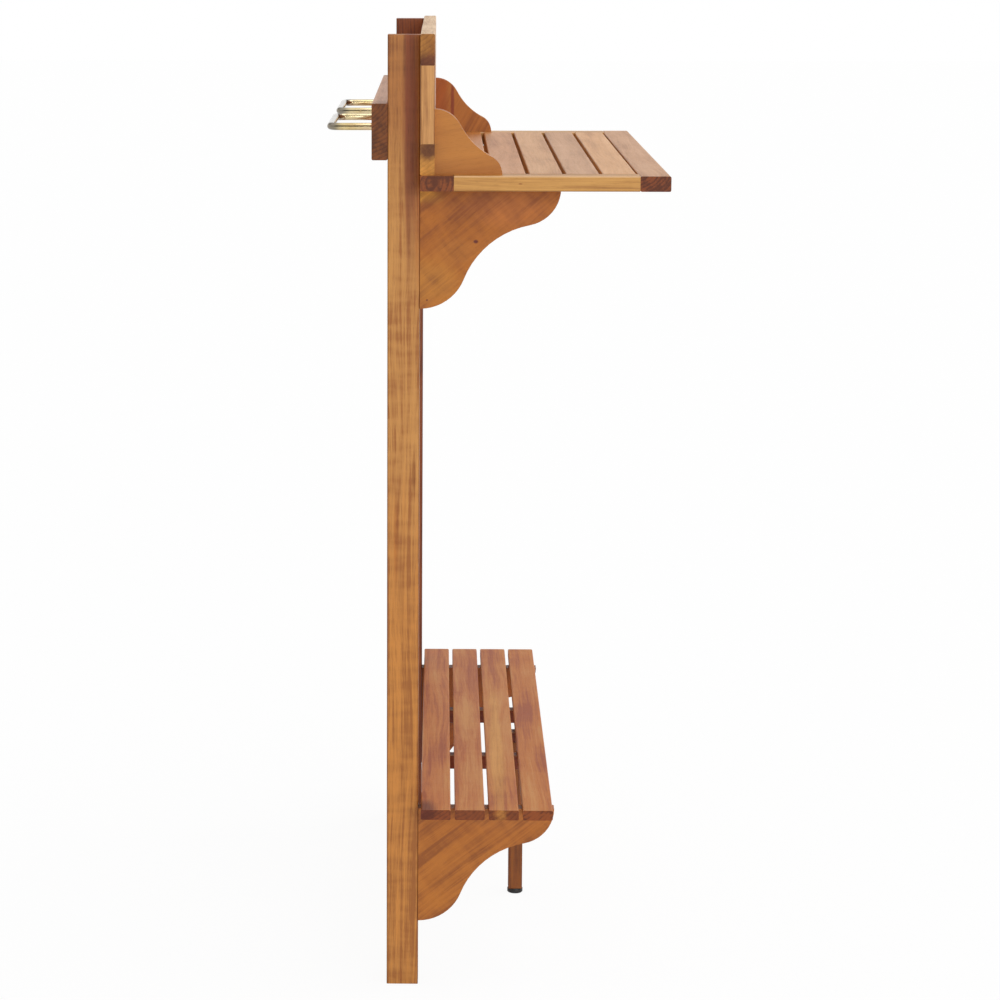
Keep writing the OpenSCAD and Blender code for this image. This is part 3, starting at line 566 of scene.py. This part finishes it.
WOODS = {
    "post_left": dict(
        grain=ALONG_Z, mid=ORANGE, deep=scaled(ORANGE, 0.70, 0.54, 0.40), broad=0.8, fine=1.5, curl=1.3,
        seed=1, marks=[
            mark(0.020, 0.300, 0.080, 0.380, tone(182, 120, 64), 0.8),
            mark(0.010, 1.200, 0.024, 0.130, tone(163, 107, 64), 0.8),
            # These two dark marks along the front of the post's top are a painted shadow of the panel's end.
            mark(0.0385, 1.150, 0.0065, 0.260, tone(158, 94, 52), 0.85),
            mark(0.0285, 1.170, 0.0098, 0.270, DARK_BAND, 0.88),
            mark(0.034, 0.680, 0.003, 0.028, tone(140, 86, 46), 0.7),
            mark(0.012, 0.600, 0.004, 0.070, tone(165, 98, 50), 0.5)]),
    "post_right": dict(grain=ALONG_Z, mid=tone(131, 75, 36), contrast=2.2, fine=2.0, seed=2),
    "clamp_bar": dict(
        grain=ALONG_X, mid=tone(193, 140, 104), end=tone(118, 75, 47), end_contrast=1.4, seed=3),
    # Its pale colour is partly the wood and partly a painted sheen of its top face.
    "panel_top_rail": dict(
        grain=ALONG_X, mid=tone(216, 178, 134), end=tone(164, 112, 62), end_contrast=0.7, seed=4,
        marks=[
            mark(0.060, 1.218, 0.010, 0.016, tone(146, 94, 54), 0.7),
            mark(0.054, 1.198, 0.032, 0.018, tone(108, 66, 44), 0.92)]),
    "panel_bottom_rail": dict(
        grain=ALONG_X, mid=RUSSET, end=tone(196, 138, 72), end_contrast=0.5, seed=5,
        marks=[mark(0.0525, 1.0945, 0.021, 0.0150, tone(106, 68, 50), 0.92)]),
    "panel_stile_left": dict(
        grain=ALONG_Z, mid=tone(195, 142, 90), contrast=0.6, broad=0.3, fine=2.2, curl=0.6, seed=41),
    "panel_stile_right": dict(grain=ALONG_Z, mid=HONEY, seed=7),
    "panel_slat_lower": dict(grain=ALONG_X, mid=SIENNA, seed=8),
    "panel_slat_upper": dict(grain=ALONG_X, mid=ORANGE, seed=9),
    "top_rear_rail": dict(
        grain=ALONG_X, mid=SIENNA, end=RAIL_END, end_contrast=2.5, pith=(0, 0.004, 0.0), ring=0.006, seed=10),
    "top_front_rail": dict(
        grain=ALONG_X, mid=tone(196, 144, 99), contrast=0.8, fine=0.7, end=HEART_END, end_contrast=2.4,
        pith=(0, 0.05, 0.05), seed=11),
    "top_side_rail_left": dict(
        grain=ALONG_Y, mid=tone(193, 142, 82), seed=12,
        marks=[mark(0.165, 1.0535, 0.0030, 0.0010, tone(140, 84, 44), 0.8)]),
    "top_side_rail_right": dict(grain=ALONG_Y, mid=YELLOW, seed=13),
    "top_slat_1": dict(grain=ALONG_X, mid=tone(190, 127, 73), contrast=0.7, fine=0.7, seed=14),
    "top_slat_2": dict(grain=ALONG_X, mid=tone(196, 138, 86), contrast=0.7, fine=0.7, seed=15),
    "top_slat_3": dict(grain=ALONG_X, mid=tone(206, 154, 102), contrast=0.7, fine=0.7, seed=16),
    "top_slat_4": dict(grain=ALONG_X, mid=tone(196, 146, 102), contrast=0.7, fine=0.7, seed=17),
    "top_slat_5": dict(grain=ALONG_X, mid=tone(212, 156, 99), contrast=0.7, fine=0.7, seed=18),
    # Darker colour, seen through the gaps between the slats: painted shade.
    "top_batten": dict(grain=ALONG_Y, mid=CHESTNUT, end=RAIL_END, seed=19),
    "cheek_left": dict(grain=(0, -1, 0.15), mid=AMBER, contrast=0.5, fine=0.5, seed=20),
    "cheek_right": dict(
        grain=(0, -0.5, 1), mid=tone(182, 118, 64), contrast=1.0, fine=0.6, seed=21,
        marks=[
            mark(0.064, 1.115, 0.017, 0.090, tone(168, 94, 46), 0.9, FAR_CHEEK),
            mark(0.084, 1.105, 0.0032, 0.060, tone(138, 66, 34), 0.8, FAR_CHEEK)]),
    "bracket_upper_left": dict(
        grain=(0, -1, 0.85), mid=tone(168, 102, 50), contrast=1.35, fine=0.6, curl=1.1, seed=22,
        marks=[
            # Paler patch at the nose, under the tabletop: painted light that lifts the shade there.
            mark(0.150, 1.020, 0.060, 0.028, tone(176, 108, 60), 0.8),
            mark(0.085, 0.965, 0.035, 0.020, tone(173, 111, 58), 0.5),
            mark(0.046, 1.036, 0.026, 0.013, GOLDEN, 0.9),
            mark(0.052, 0.925, 0.050, 0.035, tone(178, 121, 62), 0.6),
            mark(0.111, 0.977, 0.0034, 0.0026, tone(98, 54, 30), 0.92),
            mark(0.050, 0.903, 0.0016, 0.0016, tone(104, 58, 32), 0.8)]),
    # Darker colour, seen through the gaps between the slats: painted shade.
    "bracket_upper_right": dict(grain=(0, -1, 0.5), mid=RUSSET, seed=23),
    "bracket_lower_left": dict(
        grain=(0, -1, 0.8), mid=tone(172, 107, 56), contrast=1.6, fine=0.7, curl=0.8, seed=24,
        # Paler patch at the nose, under the shelf: painted light that lifts the shade there.
        marks=[mark(0.150, 0.228, 0.060, 0.022, tone(180, 115, 62), 0.8)]),
    "bracket_lower_right": dict(grain=(0, -1, 0.4), mid=tone(150, 88, 46), seed=25),
    "shelf_slat_1": SHELF | dict(
        mid=tone(191, 119, 68), end=tone(121, 71, 38), end_contrast=1.5, seed=26,
        marks=[((-0.445, POST_BACK - 0.046, 0.252), (0.05, 0.02, 0.02), tone(108, 62, 34), 0.85)]),
    "shelf_slat_2": SHELF | dict(mid=tone(184, 112, 64), end=HEART_END, seed=27),
    "shelf_slat_3": SHELF | dict(
        mid=tone(190, 120, 66), end=BOARD_END, seed=28,
        marks=[((-0.16, POST_BACK - 0.147, 0.252), (0.42, 0.0115, 0.05), tone(197, 142, 76), 0.65)]),
    "shelf_slat_4": SHELF | dict(mid=tone(189, 117, 61), end=BOARD_END, end_contrast=1.8, seed=29),
    "shelf_batten_left": dict(grain=ALONG_Y, mid=DARK_BAND, end=RAIL_END, seed=30),
    "shelf_batten_right": dict(grain=ALONG_Y, mid=DARK_BAND, end=RAIL_END, seed=31),
    "leg_block": dict(grain=ALONG_Y, mid=tone(112, 62, 34), end=RAIL_END, seed=32),
    "leg": dict(grain=ALONG_Z, mid=tone(138, 85, 47), contrast=1.8, end=RAIL_END, seed=33),
}


def add_rings(rings, points, faces):
    """Adds the skin of a closed piece made of rings of points."""
    start, count = len(points), len(rings[0])
    for ring in rings:
        points += ring
    for first in range(len(rings) - 1):
        near = start + first * count
        for k in range(count):
            after = (k + 1) % count
            faces.append((near + k, near + after, near + count + after, near + count + k))
    for ring, first in ((rings[0], start), (rings[-1], start + (len(rings) - 1) * count)):
        points.append(sum(ring, Vector()) / count)
        middle = len(points) - 1
        faces += [(first + k, first + (k + 1) % count, middle) for k in range(count)]


def add_piece(node, points, faces, material, body):
    """Piece that stands in for a CAD node and rides its body."""
    mesh = bpy.data.meshes.new(node + "_shown")
    mesh.from_pydata([tuple(point) for point in points], [], faces)
    solid = bmesh.new()
    solid.from_mesh(mesh)
    bmesh.ops.recalc_face_normals(solid, faces=solid.faces)
    solid.to_mesh(mesh)
    solid.free()
    for face in mesh.polygons:
        face.use_smooth = True
    mesh.set_sharp_from_angle(angle=SHARP_ANGLE)
    mesh.materials.append(material)
    piece = bpy.data.objects.new(node + "_shown", mesh)
    bpy.context.collection.objects.link(piece)
    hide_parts(node)
    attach(piece, body)


def ring_about(centre, side, other, radius_at):
    """Ring of points about a centre, in the plane of two directions, with a radius at each angle."""
    ring = []
    for k in range(AROUND):
        angle = math.tau * k / AROUND
        ring.append(centre + (side * math.cos(angle) + other * math.sin(angle)) * radius_at(angle))
    return ring


def threaded(radius, pitch, depth, distance, length, hand):
    """Radius at each angle, at a distance from a threaded end. The chamfer and the run-out are tapers."""
    chamfer = max(0.0, END_CHAMFER - distance) * CHAMFER_SLOPE
    depth *= min(1.0, max(0.0, (length - distance) / (2 * pitch)))

    def radius_at(angle):
        share = (distance / pitch + hand * angle / math.tau) % 1.0
        flank = abs(share - 0.5) * THREAD_FLANK - THREAD_CREST
        return radius - chamfer - depth * min(1.0, max(0.0, flank))
    return radius_at


def make_rod(node, material):
    """Rod bent square, with a rolled thread on each front end."""
    low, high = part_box(node)
    radius, level = (high.z - low.z) / 2, (high.z + low.z) / 2
    left, right, back = low.x + radius, high.x - radius, high.y - radius
    step = ROD_PITCH / RINGS_PER_TURN
    distances = [k * step for k in range(round(ROD_THREAD / step) + 1)]

    rings = []
    for distance in distances:
        size = threaded(radius, ROD_PITCH, ROD_THREAD_DEPTH, distance, ROD_THREAD, 1)
        rings.append(ring_about(Vector((left, low.y + distance, level)), Vector((1, 0, 0)), UP, size))
    for x, first in ((left + ROD_BEND, 0), (right - ROD_BEND, BEND_STEPS)):
        for k in range(BEND_STEPS + 1):
            turn = math.pi / 2 * (first + k) / BEND_STEPS
            side = Vector((math.cos(turn), -math.sin(turn), 0))
            centre = Vector((x, back - ROD_BEND, level)) - side * ROD_BEND
            rings.append(ring_about(centre, side, UP, lambda angle: radius))
    for distance in reversed(distances):
        size = threaded(radius, ROD_PITCH, ROD_THREAD_DEPTH, distance, ROD_THREAD, -1)
        rings.append(ring_about(Vector((right, low.y + distance, level)), Vector((-1, 0, 0)), UP, size))
    points, faces = [], []
    add_rings(rings, points, faces)
    add_piece(node, points, faces, material, node)


def make_stem(node, material):
    """Threaded stem of the foot."""
    low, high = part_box(node)
    middle = (low + high) / 2
    radius, length = (high.x - low.x) / 2, high.z - low.z
    step = STEM_PITCH / RINGS_PER_TURN
    rings = []
    for k in range(int(length / step) + 1):
        size = threaded(radius, STEM_PITCH, STEM_THREAD_DEPTH, k * step, length * 2, 1)
        rings.append(ring_about(Vector((middle.x, middle.y, high.z - k * step)), Vector((1, 0, 0)),
                                Vector((0, -1, 0)), size))
    points, faces = [], []
    add_rings(rings, points, faces)
    add_piece(node, points, faces, material, node)


def islands(node):
    """Lists of points, one for each separate solid of a CAD node."""
    solid = bmesh.new()
    solid.from_mesh(NODES[node].data)
    solid.transform(NODES[node].matrix_world)
    bmesh.ops.remove_doubles(solid, verts=solid.verts, dist=SAME_PLACE)
    left, found = set(solid.verts), []
    while left:
        waiting, group = [left.pop()], []
        while waiting:
            corner = waiting.pop()
            group.append(corner.co.copy())
            for edge in corner.link_edges:
                other = edge.other_vert(corner)
                if other in left:
                    left.remove(other)
                    waiting.append(other)
        found.append(group)
    solid.free()
    return found


def screw_rings(group):
    """Rings of one screw: its head with a cross recess, and its shank and point as the CAD has them."""
    low = Vector([min(point[k] for point in group) for k in range(3)])
    high = Vector([max(point[k] for point in group) for k in range(3)])
    spread = high - low
    axis = min(range(3), key=lambda k: abs(spread[(k + 1) % 3] - spread[(k + 2) % 3]))
    first, second = Vector(), Vector()
    first[(axis + 1) % 3] = 1
    second[(axis + 2) % 3] = 1
    middle = (low + high) / 2
    width = spread[(axis + 1) % 3] / 2
    wide = [point[axis] for point in group if (point - middle).dot(first) > width * HEAD_RIM]
    head_is_high = sum(wide) / len(wide) > middle[axis]
    head, inward = (high[axis], -1) if head_is_high else (low[axis], 1)

    outline = {}
    for point in group:
        depth = round(abs(point[axis] - head), 5)
        off = point - middle
        off[axis] = 0
        outline[depth] = max(outline.get(depth, 0.0), off.length)

    def ring(radius, depth_at):
        points = []
        for k in range(AROUND):
            angle = math.tau * k / AROUND
            point = middle + first * radius * math.cos(angle) + second * radius * math.sin(angle)
            point[axis] = head + inward * depth_at(radius * math.cos(angle), radius * math.sin(angle))
            points.append(point)
        return points

    def recess(one, other):
        near, far = sorted((abs(one), abs(other)))
        if near > width * RECESS_HALF_WIDTH or far > width * RECESS_REACH:
            return 0.0
        return width * RECESS_DEPTH * (1.0 - RECESS_TAPER * far / (width * RECESS_REACH))

    rings = [ring(width * share, recess) for share in HEAD_RINGS]
    for depth, radius in sorted(outline.items()):
        rings.append(ring(max(radius, POINT_RADIUS), lambda one, other: depth))
    return rings


def make_screws(node, material):
    points, faces = [], []
    for group in islands(node):
        add_rings(screw_rings(group), points, faces)
    add_piece(node, points, faces, material, "frame")


def dress_nodes():
    for node, values in WOODS.items():
        edge = POST_EDGE if node.startswith(("post", "panel")) else BOARD_EDGE
        dress(node, wood("wood_" + node, node, **values), edge)
    gold, steel, plastic = gold_zinc(), bright_steel(), black_plastic()
    for node in NODES:
        if node.startswith(("u_bolt", "wing_nut", "clamp_washers")):
            dress(node, gold, WING_EDGE if node.startswith("wing") else WASHER_EDGE)
        elif node.endswith("screws") or node.startswith("angles") or node in ("leg_insert", "foot_stem"):
            dress(node, steel)
    dress("foot_pad", plastic)
    make_rod("u_bolt_left", gold)
    make_rod("u_bolt_right", gold)
    make_stem("foot_stem", steel)
    for node in [name for name in NODES if name.endswith("screws")]:
        make_screws(node, steel)


# Just under the feet, so that the floor and their undersides don't share a plane
FLOOR_LEVEL = -0.0003
FLOOR_SIZE = 60.0
FLOOR_COLOUR = (0.9, 0.9, 0.9, 1.0)
FLOOR_ROUGH = 0.9

# How much of the floor that the camera sees is plain white. The rest holds the shadow.
FLOOR_WHITE = 0.93

# Strength of the world as a lamp
WORLD_LIGHT = 0.62

# Where the room that glossy pieces mirror is dimmed, by the height and the X of a direction in it, both from
# -1 to 1. Each row holds two of these and the dimming at either. LOW is low down on the camera's side,
# BEHIND is behind the camera up to a height, and BEYOND is a band of heights beyond the table.
LOW_HEIGHT = (0.02, 0.55, 1.0, 0.0)
LOW_SIDE = (-0.3, 0.6, 0.5, 0.0)
BEHIND_HEIGHT = (0.40, 0.85, 0.88, 0.0)
BEHIND_SIDE = (-0.8, -0.3, 1.0, 0.0)
BEYOND_BOTTOM = (0.19, 0.34, 0.0, 0.45)
BEYOND_TOP = (0.5, 0.8, 0.0, 0.45)
BEYOND_SIDE = (0.1, 0.6)


def make_floor():
    """Pale floor that the camera sees as white, with the table's soft shadow."""
    bpy.ops.mesh.primitive_plane_add(size=FLOOR_SIZE, location=(0, 0, FLOOR_LEVEL))
    floor = bpy.context.object
    floor.name = "floor"
    material, tree, shader = new_material("floor")
    shader.inputs["Base Color"].default_value = FLOOR_COLOUR
    shader.inputs["Roughness"].default_value = FLOOR_ROUGH
    glow = tree.add("ShaderNodeEmission")
    glow.inputs["Strength"].default_value = 1.0
    rays = tree.add("ShaderNodeLightPath")
    blend = tree.add("ShaderNodeMixShader")
    tree.join(tree.math("MULTIPLY", rays.outputs["Is Camera Ray"], FLOOR_WHITE), blend.inputs[0])
    tree.join(shader.outputs[0], blend.inputs[1])
    tree.join(glow.outputs[0], blend.inputs[2])
    output = material.node_tree.nodes["Material Output"]
    tree.join(blend.outputs[0], output.inputs["Surface"])
    floor.data.materials.append(material)


def make_world():
    """White surroundings, and the room that glossy pieces mirror."""
    world = bpy.data.worlds.new("world")
    bpy.context.scene.world = world
    world.use_nodes = True
    tree = Tree(world.node_tree)
    background = world.node_tree.nodes["Background"]
    background.inputs["Color"].default_value = (1, 1, 1, 1)
    rays = tree.add("ShaderNodeLightPath")
    glossy, through = rays.outputs["Is Glossy Ray"], rays.outputs["Is Transmission Ray"]
    mirrored = tree.math("ADD", glossy, through, clamp=True)
    way = tree.add("ShaderNodeSeparateXYZ")
    tree.join(tree.add("ShaderNodeTexCoord").outputs["Generated"], way.inputs[0])
    height, side = way.outputs["Z"], way.outputs["X"]

    low = tree.math("MULTIPLY", tree.stretch(height, *LOW_HEIGHT), tree.stretch(side, *LOW_SIDE))
    behind = tree.math("MULTIPLY", tree.stretch(side, *BEHIND_SIDE), tree.stretch(height, *BEHIND_HEIGHT))
    band = tree.math("SUBTRACT", tree.stretch(height, *BEYOND_BOTTOM), tree.stretch(height, *BEYOND_TOP))
    beyond = tree.math("MULTIPLY", band, tree.stretch(side, *BEYOND_SIDE))
    dimmed = tree.math("SUBTRACT", tree.math("SUBTRACT", 1.0, low), beyond)
    room = tree.math("MULTIPLY", dimmed, tree.math("SUBTRACT", 1.0, behind))

    light = tree.stretch(rays.outputs["Is Camera Ray"], 0.0, 1.0, WORLD_LIGHT, 1.0)
    mixed = tree.add("ShaderNodeMix", data_type="FLOAT")
    tree.join(mirrored, mixed.inputs["Factor"])
    tree.join(light, mixed.inputs["A"])
    tree.join(room, mixed.inputs["B"])
    tree.join(mixed.outputs["Result"], background.inputs["Strength"])


# Soft lamps: the direction towards each, its strength and its spread in degrees
SUNS = {
    "key": ((-0.93, -0.3, 0.22), 0.96, 30),
    "top": ((-0.1, -0.35, 0.93), 0.80, 40),
    "fill": ((0.45, -0.75, 0.5), 0.45, 40),
}


def add_sun(name, towards, strength, spread):
    """Soft lamp that shines evenly from a direction, with a spread in degrees."""
    data = bpy.data.lights.new(name, "SUN")
    data.energy = strength
    data.angle = math.radians(spread)
    lamp = bpy.data.objects.new(name, data)
    lamp.rotation_euler = Vector(towards).to_track_quat("Z", "Y").to_euler()
    bpy.context.collection.objects.link(lamp)


bpy.context.scene.view_settings.view_transform = "Standard"
make_camera()
dress_nodes()
make_floor()
make_world()
for lamp_name, values in SUNS.items():
    add_sun(lamp_name, *values)
